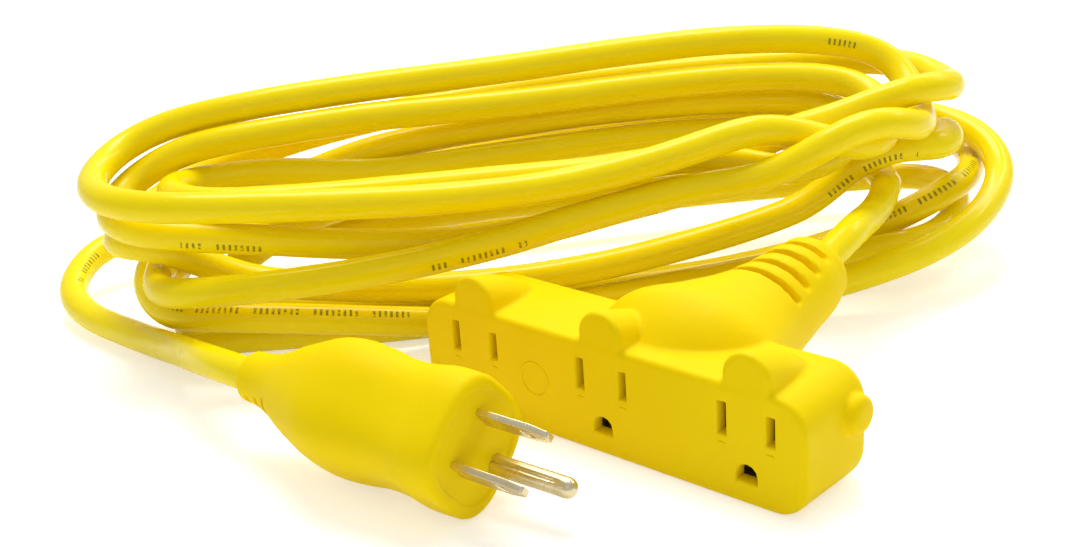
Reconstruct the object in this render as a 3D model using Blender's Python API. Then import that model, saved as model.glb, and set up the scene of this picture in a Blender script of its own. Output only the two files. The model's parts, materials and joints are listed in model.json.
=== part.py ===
"""A three-outlet extension cord, coiled and lying on the floor.

Units are millimetres in the constants and metres in the scene; +Z is up and the floor is z = 0.
The outlet block's front face looks towards -Y and the origin is under the middle of the block.
Cord and plug are set out in the coil's own plan, which runs at an angle to the block.
"""

import math

import bpy
import numpy as np

MM = 0.001

# ---- Cord -------------------------------------------------------------------------------------
CORD_R = 4.2              # jacket outer radius
BORE_R = 3.4              # jacket inner radius, round the three conductors
CORE_R = 1.35             # insulated conductor radius
CORE_OFFSET = 1.72        # conductor centre from the cord's centre line
COPPER_R = 0.75           # bare copper where a conductor is stripped
CORD_SIDES = 8
CORE_SIDES = 4
STRAND_PITCH = 9.25       # least distance between two strands' centre lines
CORE_ANGLES = {"green": 90.0, "black": 330.0, "white": 210.0}

# ---- Standard grounded plug and outlet, 15 A 125 V ----------------------------------------------
BLADE_HALF_SPACING = 6.35
BLADE_WIDTH = 6.35
BLADE_THICK = 1.5
BLADE_LENGTH = 17.5
BLADE_HOLE_R = 1.6
BLADE_HOLE_AT = 11.9
PIN_R = 2.4
PIN_LENGTH = 21.4
PIN_DROP = 11.9           # ground pin from the line of the two blades
OUTLET_PITCH = 40.4

# ---- Plug -------------------------------------------------------------------------------------
PLUG_FACE = (-14.2, -80.97, 19.1)      # middle of the blade line, in the coil's plan
PLUG_AXIS = (0.79, -0.61, -0.03)      # the way the blades point
PLUG_DOWN = (0.352, 0.564, -0.748)    # from the blade line to the ground pin
BODY_DROP = 2.5                       # body centre below the blade line
BODY = (                              # along the axis, half size, squareness
    (-68.0, 6.2, 2.0),
    (-63.0, 6.7, 2.0),
    (-58.0, 8.2, 2.0),
    (-52.0, 10.8, 2.2),
    (-46.0, 13.0, 2.4),
    (-40.5, 14.7, 2.6),
    (-35.0, 15.4, 2.7),
    (-28.0, 15.0, 2.8),
    (-20.5, 14.0, 3.0),
    (-14.0, 14.2, 3.0),
    (-8.0, 15.1, 3.0),
    (-1.8, 15.1, 3.0),
    (0.0, 13.9, 3.0),
)
BODY_SIDES = 24
RELIEF_SLOTS = (-65.5, -61.5, -57.5)
BLADE_ROOT = -15.0

# ---- Outlet block -----------------------------------------------------------------------------
SLOT_Z = 19.6             # height of the blade slots' centre line
BLOCK_LEFT = -58.0        # from the middle outlet, along the face
BLOCK_RIGHT = 55.5
BLOCK_TOP = 8.5           # above the slot centre line
BLOCK_FLOOR = -19.6
BLOCK_DEPTH = 24.0
BLOCK_CORNER = 8.0
HUMP_TOP = 16.8
HUMP_R = 6.4
NECK_U = 14.0             # where the cord leaves the back of the block
NECK_RISE = 12.5
NECK_LENGTH = 48.0
NECK = (                  # distance behind the block, half width, half height, sideways, lift
    (-15.0, 16.0, 13.8, -5.0, 2.9),
    (-7.0, 22.0, 16.6, -5.0, 4.6),
    (0.0, 24.0, 17.0, -5.0, 5.6),
    (10.0, 19.5, 15.5, -3.0, 3.8),
    (20.0, 14.8, 13.6, -1.5, 2.2),
    (30.0, 12.2, 12.2, -0.5, 1.2),
    (44.0, 10.0, 10.0, 0.0, 0.4),
    (48.0, 8.4, 8.4, 0.0, 0.2),
)
NECK_SLOTS = (24.0, 30.0, 36.0, 42.0)
POCKET_R = 10.0           # hollow behind the terminals, narrowing to the cord's bore
POCKET_END = 15.0         # along the neck, where the jacket is stripped
TERMINALS = {"black": (18.0, 2.2), "white": (10.0, -2.9), "green": (15.0, -12.0)}
OUTLET_MIDDLE = (15.0, -55.0)         # middle outlet on the face, in the coil's plan
TURN_BLOCK = 43.5                     # the coil's plan is turned this far about Z
UNDERSIDE = (-1.25, -19.6, 10.0)      # middle of the block's underside: the object's origin

# ---- Coil: each turn's right end, front, left end and back, in the coil's plan ---------------------
# right (x, y, z), front (y, z), left (x, y, z), back (y, z)
TURNS = (
    ((132, 74, 15), (26.7, 4.2), (-101, 44, 6), (70, 30)),
    ((139, 76, 27), (36, 4.6), (-104, 44, 14), (78, 38)),
    ((139, 66, 26), (17.4, 4.2), (-105.5, 40, 18.5), (74, 20)),
    ((125, 56, 38), (29, 12.8), (-114, 36, 31), (72, 56)),
    ((123, 60, 53.5), (17, 31), (-113, 31, 43), (54, 57.5)),
    ((104, 44, 50), (8, 46), (-116, 30, 52), (60, 66.2)),
    ((115, 52, 53), (7, 34), (-102, 28, 25), (61, 49)),
    ((99, 48, 42), (18, 46), (-96, 32, 48), (56, 42)),
)
# Each turn's right end: how far its back and its front run back there, and the share of the
# front's climb that is already lost at the round end and where the straight begins.
RUNS = (
    (0.085, 0.06, 0.15, 0.6),
    (0.17, 0.06, 0.2, 0.72),
    (0.085, -0.02, 0.34, 0.9),
    (0.085, 0.08, 0.08, 0.33),
)
PLAIN_RUN = (0.085, 0.085, 0.05, 0.3)
FIRST_BACK = (89, 11)
PLUG_LEAD = (
    (-92, -3, 12), (-118.5, 32, 5.8), (-137.5, 60, 8), (-131.5, 82, 13), (-100, 90, 13),
    (-50, 86, 9),
)
OUTLET_LEAD = ((76, 66, 40), (98, 60, 36), (104, 44, 31), (95, 19, 28.5))
CORNER_IN = 0.30          # the round end's 45 degree point, as a share of its radius
SKEW = 0.085              # the sides run back this much towards +X

# ---- Flex points along the leads ----------------------------------------------------------------
PLUG_ROLL = -72.5         # along the plug's axis, behind the face
LIFT_AT = 18.0            # along the cord from the roll point
SWING_AT = 52.0
BLOCK_LIFT = 12.0         # beyond the neck's end
BLOCK_SWING = 34.0        # along the cord from the lift point
FLEX_GAP = 2.0
ROLL_GAP = 0.5

YELLOW = (0.80, 0.62, 0.015, 1.0)
COLOURS = {
    "jacket_pvc": (YELLOW, 0.30, 0.0),
    "moulded_pvc": (YELLOW, 0.42, 0.0),
    "core_black": ((0.02, 0.02, 0.02, 1.0), 0.45, 0.0),
    "core_white": ((0.80, 0.80, 0.78, 1.0), 0.45, 0.0),
    "core_green": ((0.02, 0.25, 0.06, 1.0), 0.45, 0.0),
    "copper": ((0.72, 0.33, 0.18, 1.0), 0.30, 1.0),
    "brass": ((0.70, 0.55, 0.24, 1.0), 0.28, 1.0),
    "carrier_plastic": ((0.78, 0.76, 0.70, 1.0), 0.50, 0.0),
}


def clear_scene():
    for obj in list(bpy.data.objects):
        bpy.data.objects.remove(obj, do_unlink=True)


def material(slot):
    found = bpy.data.materials.get(slot)
    if found:
        return found
    colour, roughness, metallic = COLOURS[slot]
    made = bpy.data.materials.new(slot)
    made.use_nodes = True
    shader = made.node_tree.nodes["Principled BSDF"]
    shader.inputs["Base Color"].default_value = colour
    shader.inputs["Roughness"].default_value = roughness
    shader.inputs["Metallic"].default_value = metallic
    made.diffuse_color = colour
    return made


def add_object(name, points, faces, slot=None, origin=None):
    """A mesh object from points in millimetres; its origin is moved to `origin`."""
    origin = np.zeros(3) if origin is None else np.asarray(origin, float)
    mesh = bpy.data.meshes.new(name)
    local = (np.asarray(points, float) - origin) * MM
    mesh.from_pydata([tuple(p) for p in local], [], [tuple(int(i) for i in f) for f in faces])
    mesh.validate()
    obj = bpy.data.objects.new(name, mesh)
    obj.location = tuple(origin * MM)
    bpy.context.scene.collection.objects.link(obj)
    if slot:
        mesh.materials.append(material(slot))
    return obj


def boolean(obj, points, faces, operation="DIFFERENCE"):
    """Cuts a closed helper shape from obj, or joins it on."""
    helper = add_object(f"{obj.name}_helper_{len(obj.modifiers)}", points, faces)
    helper.hide_render = True
    helper.display_type = "WIRE"
    modifier = obj.modifiers.new(helper.name, "BOOLEAN")
    modifier.operation = operation
    modifier.solver = "EXACT"
    modifier.object = helper


# ---- Plain shapes -----------------------------------------------------------------------------
def unit(v):
    v = np.asarray(v, float)
    return v / np.linalg.norm(v)


def turned(p):
    """A point or a direction of the coil's plan, turned about Z into the object's axes."""
    p = np.asarray(p, float)
    angle = math.radians(TURN_BLOCK)
    c, s = math.cos(angle), math.sin(angle)
    out = p.copy()
    out[..., 0] = c * p[..., 0] - s * p[..., 1]
    out[..., 1] = s * p[..., 0] + c * p[..., 1]
    return out


def placed(p):
    """A point of the coil's plan in the object's axes, from its origin."""
    middle = turned((*OUTLET_MIDDLE, 0.0))
    return turned(p) - middle - (UNDERSIDE[0], UNDERSIDE[2], 0.0)


class Frame:
    """A local set of axes: place() takes local millimetres to the object's."""

    def __init__(self, origin, x, y, z):
        self.origin = np.asarray(origin, float)
        self.axes = np.array([x, y, z], float)

    def place(self, points):
        return self.origin + np.asarray(points, float) @ self.axes


def loft(rings):
    """A closed body through rings of equal count, capped at both ends."""
    count = len(rings[0])
    points = np.concatenate(rings)
    faces = []
    for k in range(len(rings) - 1):
        for i in range(count):
            j = (i + 1) % count
            a, b = k * count, (k + 1) * count
            faces.append((a + i, a + j, b + j, b + i))
    faces.append(tuple(range(count))[::-1])
    last = (len(rings) - 1) * count
    faces.append(tuple(range(last, last + count)))
    return points, faces


def outward(points, faces):
    """The faces turned round if the closed body they make is inside out."""
    volume = 0.0
    for face in faces:
        for k in range(1, len(face) - 1):
            a, b, c = points[face[0]], points[face[k]], points[face[k + 1]]
            volume += np.dot(a, np.cross(b, c))
    return faces if volume > 0 else [tuple(reversed(face)) for face in faces]


def body(rings):
    points, faces = loft([np.asarray(ring, float) for ring in rings])
    return points, outward(points, faces)


def box(frame, low, high):
    (x0, y0, z0), (x1, y1, z1) = low, high
    ring = [(x0, y0), (x1, y0), (x1, y1), (x0, y1)]
    rings = [frame.place([(x, y, z) for x, y in ring]) for z in (z0, z1)]
    return body(rings)


def extrusion(frame, outline, low, high):
    """An outline in local x and y, carried from z = low to z = high."""
    return body([frame.place([(x, y, z) for x, y in outline]) for z in (low, high)])


def circle(radius, sides, centre=(0.0, 0.0), phase=0.0):
    steps = [phase + 2 * math.pi * i / sides for i in range(sides)]
    return [(centre[0] + radius * math.cos(t), centre[1] + radius * math.sin(t)) for t in steps]


def squircle(half, power, sides, centre):
    """A circle squared up by `power`: 2 is round, more is squarer."""
    out = []
    for i in range(sides):
        t = 2 * math.pi * (i + 0.5) / sides
        c, s = math.cos(t), math.sin(t)
        r = half / (abs(c) ** power + abs(s) ** power) ** (1 / power)
        out.append((centre[0] + r * c, centre[1] + r * s))
    return out


def rounded_box(low, high, radius, steps):
    """The outline of a rectangle with round corners."""
    (x0, y0), (x1, y1) = low, high
    corners = ((x1, y1, 0), (x0, y1, 1), (x0, y0, 2), (x1, y0, 3))
    out = []
    for x, y, quarter in corners:
        cx = x - radius if quarter in (0, 3) else x + radius
        cy = y - radius if quarter in (0, 1) else y + radius
        for i in range(steps + 1):
            t = math.pi / 2 * (quarter + i / steps)
            out.append((cx + radius * math.cos(t), cy + radius * math.sin(t)))
    return out


# ---- Cord centre line -------------------------------------------------------------------------
def corner(side, end, rise, skew=SKEW):
    """Two points from a turn's round end to its straight side."""
    side_y = side[1] + skew * end[0]
    radius = abs(side_y - end[1])
    way = math.copysign(1.0, side[0] - end[0])
    out = []
    for along, across, up in ((CORNER_IN, 0.72, rise[0]), (1.45, 0.965, rise[1])):
        x = end[0] + way * along * radius
        y = end[1] + across * (side_y - end[1])
        out.append(np.array([x, y, end[2] + up * (side[2] - end[2])]))
    return out


def waypoints():
    back = np.array([0.0, *FIRST_BACK])
    points = [np.array(p, float) for p in PLUG_LEAD] + [back]
    runs = RUNS + (PLAIN_RUN,) * (len(TURNS) - len(RUNS))
    for (right, front, left, rear), (back_skew, skew, *rise) in zip(TURNS, runs):
        right = np.array(right, float)
        left = np.array(left, float)
        front = np.array([0.0, *front])
        rear = np.array([0.0, *rear])
        points += corner(back, right, (0.5, 0.95), back_skew)[::-1] + [right]
        points += corner(front, right, rise, skew) + [front]
        points += corner(front, left, (0.1, 0.35))[::-1] + [left]
        points += corner(rear, left, (0.2, 0.62)) + [rear]
        back = rear
    return points + [np.array(p, float) for p in OUTLET_LEAD]


def spline(points, start_way, end_way):
    """A smooth curve through the points, leaving and arriving along the given directions."""
    points = np.array(points)
    chords = np.linalg.norm(np.diff(points, axis=0), axis=1)
    h = chords ** 0.85
    n = len(points)
    matrix = np.zeros((n, n))
    side = np.zeros((n, 3))
    rate_in = unit(start_way) * chords[0] / h[0]
    rate_out = unit(end_way) * chords[-1] / h[-1]
    matrix[0, :2] = 2 * h[0], h[0]
    side[0] = 6 * ((points[1] - points[0]) / h[0] - rate_in)
    matrix[-1, -2:] = h[-1], 2 * h[-1]
    side[-1] = 6 * (rate_out - (points[-1] - points[-2]) / h[-1])
    for i in range(1, n - 1):
        matrix[i, i - 1 : i + 2] = h[i - 1], 2 * (h[i - 1] + h[i]), h[i]
        slope = (points[i + 1] - points[i]) / h[i] - (points[i] - points[i - 1]) / h[i - 1]
        side[i] = 6 * slope
    bend = np.linalg.solve(matrix, side)
    out = []
    for i in range(n - 1):
        s = np.linspace(0, h[i], 25)[:-1, None]
        r = h[i] - s
        first = points[i] / h[i] - bend[i] * h[i] / 6
        second = points[i + 1] / h[i] - bend[i + 1] * h[i] / 6
        cubic = (bend[i] * r**3 + bend[i + 1] * s**3) / (6 * h[i])
        out.append(cubic + first * r + second * s)
    return np.vstack(out + [points[-1:]])


def lengths(line):
    return np.concatenate([[0.0], np.cumsum(np.linalg.norm(np.diff(line, axis=0), axis=1))])


def at_lengths(line, wanted):
    s = lengths(line)
    return np.stack([np.interp(wanted, s, line[:, k]) for k in range(3)], axis=1)


def spaced(line, step):
    total = lengths(line)[-1]
    return at_lengths(line, np.linspace(0, total, int(round(total / step)) + 1))


def blurred(values, width):
    reach = 3 * width
    kernel = np.exp(-0.5 * (np.arange(-reach, reach + 1) / width) ** 2)
    kernel /= kernel.sum()
    padded = np.pad(values, ((reach, reach), (0, 0)), mode="edge")
    return np.stack([np.convolve(padded[:, k], kernel, "valid") for k in range(3)], axis=1)


def near_pairs(line, skip, within):
    distance = np.linalg.norm(line[:, None] - line[None], axis=2)
    first, second = np.nonzero(distance < within)
    keep = second - first > skip
    return first[keep], second[keep]


def eased_apart(line, rounds=240):
    """Strands that would pass through each other, or the floor, moved until they just clear."""
    count = len(line)
    index = np.arange(count)
    hold = np.clip((np.minimum(index, count - 1 - index) - 12) / 8.0, 0, 1)[:, None]
    for turn in range(rounds):
        if turn % 15 == 0:
            first, second = near_pairs(line, 9, 1.7 * STRAND_PITCH)
        apart = line[first] - line[second]
        distance = np.linalg.norm(apart, axis=1)[:, None]
        push = apart / distance * np.clip(STRAND_PITCH - distance, 0, None) * 0.5
        moved = np.zeros_like(line)
        hits = np.zeros((count, 1))
        for where, way in ((first, 1.0), (second, -1.0)):
            np.add.at(moved, where, push * way)
            np.add.at(hits, where, (push != 0).any(axis=1, keepdims=True) * 1.0)
        moved /= np.maximum(hits, 1)
        moved[:, 2] += np.clip(CORD_R - line[:, 2], 0, None)
        line = line + blurred(moved, 3) * 1.6 * hold
        line[:, 2] = np.maximum(line[:, 2], CORD_R)
    return line


def plug_frame():
    axis = unit(turned(PLUG_AXIS))
    down = np.array(turned(PLUG_DOWN))
    down = unit(down - axis * np.dot(down, axis))
    return Frame(placed(PLUG_FACE), np.cross(down, axis), down, axis)


def block_frame():
    """Local x along the face, y up from the slots, z into the block."""
    middle = (-UNDERSIDE[0], -UNDERSIDE[2], SLOT_Z)
    return Frame(middle, (1, 0, 0), (0, 0, 1), (0, 1, 0))


def neck_frame():
    """Local z along the cord, leaving the back of the block."""
    start = block_frame().place([(NECK_U, -4.6, BLOCK_DEPTH)])[0]
    along = unit((0.0, NECK_LENGTH, NECK_RISE))
    return Frame(start, (1, 0, 0), np.cross(along, (1, 0, 0)), along)


def centre_line():
    """The cord from the plug's roll point to the outlet block's lift point."""
    plug, neck = plug_frame(), neck_frame()
    start = plug.place([(0, BODY_DROP, PLUG_ROLL)])[0]
    end = neck.place([(0, 0, NECK_LENGTH + BLOCK_LIFT)])[0]
    middle = [placed(p) for p in waypoints()]
    line = spline([start, *middle, end], -plug.axes[2], -neck.axes[2])
    return eased_apart(spaced(line, 4.0))


def thinned(line, tolerance=0.6, longest=44.0):
    """Fewer points where the cord is nearly straight."""
    keep = [0]
    while keep[-1] < len(line) - 1:
        i = keep[-1]
        j = i + 1
        while j + 1 < len(line):
            chord = line[j + 1] - line[i]
            size = np.linalg.norm(chord)
            inner = line[i + 1 : j + 1] - line[i]
            off = np.linalg.norm(np.cross(inner, chord / size), axis=1).max()
            if off > tolerance or size > longest:
                break
            j += 1
        keep.append(j)
    return keep


# ---- Cord pieces ------------------------------------------------------------------------------
def frames_along(line, side):
    """Axes carried along the line without twist."""
    ways = np.gradient(line, axis=0, edge_order=2)
    ways /= np.linalg.norm(ways, axis=1)[:, None]
    side = unit(side - ways[0] * np.dot(side, ways[0]))
    out = []
    for way in ways:
        side = unit(side - way * np.dot(side, way))
        out.append((side, np.cross(way, side)))
    return out


def ring_at(centre, axes, radius, sides, offset=(0.0, 0.0)):
    outline = circle(radius, sides, offset, math.pi / sides)
    return np.array([centre + x * axes[0] + y * axes[1] for x, y in outline])


def tube(line, axes):
    """The jacket: a wall between an outer and an inner skin, open at both ends."""
    outer = [ring_at(c, a, CORD_R, CORD_SIDES) for c, a in zip(line, axes)]
    inner = [ring_at(c, a, BORE_R, CORD_SIDES) for c, a in zip(line, axes)]
    count, n = len(line), CORD_SIDES
    points = np.concatenate(outer + inner)
    faces = []
    for k in range(count - 1):
        for i in range(n):
            j = (i + 1) % n
            a, b = k * n, (k + 1) * n
            faces.append((a + i, a + j, b + j, b + i))
            a, b = a + count * n, b + count * n
            faces.append((b + i, b + j, a + j, a + i))
    for k in (0, count - 1):
        for i in range(n):
            j = (i + 1) % n
            a, b = k * n, (count + k) * n
            quad = (b + i, b + j, a + j, a + i)
            faces.append(quad if k == 0 else quad[::-1])
    return points, outward(points, faces)


def core(line, axes, angle):
    offset = (CORE_OFFSET * math.cos(angle), CORE_OFFSET * math.sin(angle))
    return body([ring_at(c, a, CORE_R, CORE_SIDES, offset) for c, a in zip(line, axes)])


def add_cord(prefix, line, side, origin):
    """One rigid run of cord: its jacket and its three insulated conductors."""
    axes = frames_along(line, side)
    keep = thinned(line)
    line, axes = line[keep], [axes[i] for i in keep]
    add_object(f"{prefix}_jacket", *tube(line, axes), "jacket_pvc", origin)
    for colour, degrees in CORE_ANGLES.items():
        shape = core(line, axes, math.radians(degrees))
        add_object(f"{prefix}_core_{colour}", *shape, f"core_{colour}", origin)
    return axes[-1][0]


def flex_points(line):
    """Distances along the centre line, and their places."""
    total = lengths(line)[-1]
    along = (LIFT_AT, SWING_AT, total - BLOCK_SWING)
    return along, at_lengths(line, along)


def run(line, start, end):
    """The stretch of the centre line between two distances."""
    count = max(2, int(round((end - start) / 4.0)))
    return at_lengths(line, np.linspace(start, end, count + 1))


def build_cord():
    line = centre_line()
    total = lengths(line)[-1]
    half = FLEX_GAP / 2
    (lift, swing, block), places = flex_points(line)
    side = plug_frame().axes[0]
    side = add_cord("plug_link", run(line, ROLL_GAP / 2, lift - half), side, places[0])
    side = add_cord("swing_link", run(line, lift + half, swing - half), side, places[1])
    side = add_cord("coil", run(line, swing + half, block - half), side, None)
    add_cord("outlet_link", run(line, block + half, total - half), side, places[2])


# ---- Plug -------------------------------------------------------------------------------------
def build_plug_body(frame, origin):
    rings = []
    for z, half, power in BODY:
        outline = squircle(half, power, BODY_SIDES, (0.0, BODY_DROP))
        rings.append(frame.place([(x, y, z) for x, y in outline]))
    shell = add_object("plug_overmould", *body(rings), "moulded_pvc", origin)
    bore = circle(CORD_R + 0.3, 12, (0.0, BODY_DROP))
    boolean(shell, *extrusion(frame, bore, -80.0, -28.0))
    boolean(shell, *extrusion(frame, bridge_outline(0.3), -30.0, -4.7))
    for x in (-BLADE_HALF_SPACING, BLADE_HALF_SPACING):
        wide, tall = BLADE_THICK / 2 + 0.3, BLADE_WIDTH / 2 + 0.3
        boolean(shell, *box(frame, (x - wide, -tall, -6.0), (x + wide, tall, 2.0)))
    boolean(shell, *extrusion(frame, circle(PIN_R + 0.3, 12, (0.0, PIN_DROP)), -6.0, 2.0))
    for z in RELIEF_SLOTS:
        for way in (-1, 1):
            near, far = sorted((way * 5.5, way * 12.0))
            boolean(shell, *box(frame, (near, -3.0, z - 0.8), (far, 12.0, z + 0.8)))


def bridge_outline(grow):
    """The block that holds both blades and the pin, seen along the plug."""
    wide, top, shoulder, low = 9.2 + grow, -5.2 - grow, 9.0 + grow * 0.6, 14.7 + grow
    right = [(wide, top), (wide, shoulder), (4.2 + grow * 0.6, low)]
    return [(-wide, top)] + right + [(-4.2 - grow * 0.6, low), (-wide, shoulder)]


def build_bridge(frame, origin):
    shape = extrusion(frame, bridge_outline(0.0), -12.0, -5.0)
    bridge = add_object("plug_bridge", *shape, "carrier_plastic", origin)
    for x in (-BLADE_HALF_SPACING, BLADE_HALF_SPACING):
        wide, tall = BLADE_THICK / 2 + 0.1, BLADE_WIDTH / 2 + 0.1
        boolean(bridge, *box(frame, (x - wide, -tall, -14.0), (x + wide, tall, -3.0)))
    boolean(bridge, *extrusion(frame, circle(PIN_R + 0.12, 12, (0.0, PIN_DROP)), -14.0, -3.0))


def build_blade(frame, origin, name, x):
    """A flat blade with a narrowed tip and a cross hole."""
    half, tip = BLADE_WIDTH / 2, BLADE_LENGTH
    edge = [(-half, BLADE_ROOT), (half, BLADE_ROOT), (half, tip - 4.5), (half - 1.6, tip - 0.6)]
    edge += [(half - 2.2, tip), (2.2 - half, tip), (1.6 - half, tip - 0.6), (-half, tip - 4.5)]
    sides = (x - BLADE_THICK / 2, x + BLADE_THICK / 2)
    rings = [frame.place([(s, y, z) for y, z in edge]) for s in sides]
    blade = add_object(name, *body(rings), "brass", origin)
    hole = circle(BLADE_HOLE_R, 12, (0.0, BLADE_HOLE_AT))
    rings = [frame.place([(s, y, z) for y, z in hole]) for s in (x - 2, x + 2)]
    boolean(blade, *body(rings))


def build_ground_pin(frame, origin):
    profile = [(BLADE_ROOT, PIN_R), (PIN_LENGTH - PIN_R, PIN_R)]
    for degrees in (25, 50, 72):
        t = math.radians(degrees)
        profile.append((PIN_LENGTH - PIN_R + PIN_R * math.sin(t), PIN_R * math.cos(t)))
    profile.append((PIN_LENGTH, 0.25))
    rings = [
        frame.place([(x, y, z) for x, y in circle(r, 12, (0.0, PIN_DROP))]) for z, r in profile
    ]
    add_object("ground_pin", *body(rings), "brass", origin)


def build_lead_wires(prefix, frame, origin, starts, ends, reach):
    """Conductors that fan out from the jacket's end to three terminals, then bare copper.

    starts and ends hold local (x, y) per colour; reach is (jacket end, fan start, fan end,
    insulation end, copper end) along the frame's z.
    """
    for colour, start in starts.items():
        end = ends[colour]
        far, near, turn, strip, tip = reach[colour]
        path = [(*start, far), (*start, near), (*end, turn), (*end, strip)]
        rings = []
        for x, y, z in path:
            ring = circle(CORE_R, CORE_SIDES, (x, y), math.pi / CORE_SIDES)
            rings.append(frame.place([(a, b, z) for a, b in ring]))
        add_object(f"{prefix}_core_{colour}", *body(rings), f"core_{colour}", origin)
        gap = math.copysign(0.3, tip - strip)
        ring = circle(COPPER_R, 8, end)
        shape = extrusion(frame, ring, strip + gap, tip)
        add_object(f"{prefix}_copper_{colour}", *shape, "copper", origin)


def core_spots(centre):
    out = {}
    for colour, degrees in CORE_ANGLES.items():
        t = math.radians(degrees)
        x = centre[0] + CORE_OFFSET * math.cos(t)
        out[colour] = (x, centre[1] + CORE_OFFSET * math.sin(t))
    return out


def build_plug():
    frame = plug_frame()
    origin = frame.place([(0, BODY_DROP, PLUG_ROLL)])[0]
    build_plug_body(frame, origin)
    build_bridge(frame, origin)
    build_blade(frame, origin, "blade_hot", BLADE_HALF_SPACING)
    build_blade(frame, origin, "blade_neutral", -BLADE_HALF_SPACING)
    build_ground_pin(frame, origin)
    start = PLUG_ROLL + ROLL_GAP / 2
    line = frame.place([(0, BODY_DROP, start), (0, BODY_DROP, -31.0)])
    axes = [(frame.axes[0], frame.axes[1])] * 2
    add_object("plug_jacket", *tube(line, axes), "jacket_pvc", origin)
    ends = {
        "black": (BLADE_HALF_SPACING, 0.0),
        "white": (-BLADE_HALF_SPACING, 0.0),
        "green": (0.0, PIN_DROP),
    }
    reach = {colour: (start, -30.0, -23.0, -20.5, BLADE_ROOT - 0.3) for colour in ends}
    build_lead_wires("plug", frame, origin, core_spots((0.0, BODY_DROP)), ends, reach)


# ---- Outlet block -----------------------------------------------------------------------------
def block_rings(frame):
    """The block's outline at each depth, drawn in at the front and back edges."""
    rings = []
    for depth, inset in ((0.0, 1.2), (1.2, 0.0), (22.0, 0.0), (24.5, 0.8), (26.5, 3.0)):
        low = (BLOCK_LEFT + inset, BLOCK_FLOOR + min(inset, 2.0))
        high = (BLOCK_RIGHT - inset, BLOCK_TOP - inset)
        outline = rounded_box(low, high, BLOCK_CORNER - inset * 0.5, 5)
        rings.append(frame.place([(x, y, depth) for x, y in outline]))
    return rings


def hump_rings(frame, middle):
    """The rounded grip over an outlet, running back and down into the block's top."""
    rings = []
    for depth, drop, radius in ((0.15, 0.8, 0.8), (1.2, 0, 1), (9.0, 2.4, 1), (19.0, 7.0, 0.8)):
        r = HUMP_R * radius
        top = HUMP_TOP - drop
        arch = [(-r, BLOCK_TOP - 6.0), (r, BLOCK_TOP - 6.0)]
        for i in range(9):
            t = math.pi * i / 8
            arch.append((r * math.cos(t), top - r + r * math.sin(t)))
        rings.append(frame.place([(middle + x, y, depth) for x, y in arch]))
    return rings


def neck_rings(frame):
    rings = []
    for z, wide, tall, side, lift in NECK:
        outline = []
        for i in range(20):
            t = 2 * math.pi * (i + 0.5) / 20
            outline.append((side + wide * math.cos(t), tall * math.sin(t) - lift, z))
        rings.append(frame.place(outline))
    return rings


def pocket_rings(frame, neck):
    """The hollow at the neck's root, where the conductors spread to their terminals."""
    wide = circle(POCKET_R, 16, (NECK_U, -4.7))
    rings = [frame.place([(x, y, depth) for x, y in wide]) for depth in (19.0, 20.2)]
    narrow = circle(3.9, 16)
    rings.append(neck.place([(x, -y, POCKET_END + 1.0) for x, y in narrow]))
    return rings


def ground_slot(middle):
    """A ground hole: round above, flat below."""
    y = -PIN_DROP
    arch = [(middle - 2.75, y - 2.0), (middle + 2.75, y - 2.0)]
    for i in range(7):
        t = math.pi * i / 6
        arch.append((middle + 2.75 * math.cos(t), y - 0.5 + 2.75 * math.sin(t)))
    return arch


def slot_boxes(middle, grow=0.0):
    """Low and high corners of the neutral (left, taller) and hot (right) slots."""
    out = []
    for x, wide, tall in ((-BLADE_HALF_SPACING, 1.15, 3.9), (BLADE_HALF_SPACING, 1.05, 3.45)):
        low = (middle + x - wide - grow, -tall - grow)
        out.append((low, (middle + x + wide + grow, tall + grow)))
    return out


def cut_outlets(obj, frame, low, high, grow=0.0):
    for k in (-1, 0, 1):
        middle = k * OUTLET_PITCH
        for (x0, y0), (x1, y1) in slot_boxes(middle, grow):
            boolean(obj, *box(frame, (x0, y0, low), (x1, y1, high)))
        boolean(obj, *extrusion(frame, ground_slot(middle), low, high))


def build_housing(frame, origin):
    housing = add_object("outlet_housing", *body(block_rings(frame)), "moulded_pvc", origin)
    for k in (-1, 0, 1):
        boolean(housing, *body(hump_rings(frame, k * OUTLET_PITCH)), "UNION")
    rings = []
    for out, share in ((-2.0, 1.0), (1.6, 1.0), (2.8, 0.6)):
        y0, z0 = -1.0, 19.5
        ring = [(BLOCK_RIGHT + out, y0 + 4.6 * share * math.cos(t), z0 + 4.6 * share * math.sin(t))
                for t in [2 * math.pi * i / 12 for i in range(12)]]
        rings.append(frame.place(ring))
    boolean(housing, *body(rings), "UNION")
    neck = neck_frame()
    boolean(housing, *body(neck_rings(neck)), "UNION")
    boolean(housing, *box(frame, (-53.3, -16.3, 3.2), (51.0, 5.6, 19.7)))
    boolean(housing, *body(pocket_rings(frame, neck)))
    boolean(housing, *extrusion(neck, circle(CORD_R + 0.3, 12), 8.0, NECK_LENGTH + 4.0))
    cut_outlets(housing, frame, -2.0, 4.0)
    for z in NECK_SLOTS:
        for way in (-1, 1):
            near, far = sorted((way * 7.0, way * 16.0))
            boolean(housing, *box(neck, (-12.0, near, z - 1.0), (12.0, far, z + 1.0)))


def build_carriers(frame, origin):
    """The insulating tray behind the face, and the cover that closes it."""
    shape = box(frame, (-53.0, -16.0, 3.5), (50.7, 5.3, 16.9))
    tray = add_object("contact_tray", *shape, "carrier_plastic", origin)
    boolean(tray, *box(frame, (-51.6, -14.6, 5.3), (49.3, 4.4, 18.0)))
    cut_outlets(tray, frame, 2.5, 6.5, 0.15)
    shape = box(frame, (-53.0, -16.0, 17.2), (50.7, 5.3, 19.4))
    cover = add_object("contact_cover", *shape, "carrier_plastic", origin)
    for x, y in TERMINALS.values():
        boolean(cover, *extrusion(frame, circle(CORE_R + 0.35, 10, (x, y)), 16.5, 20.5))


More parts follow.
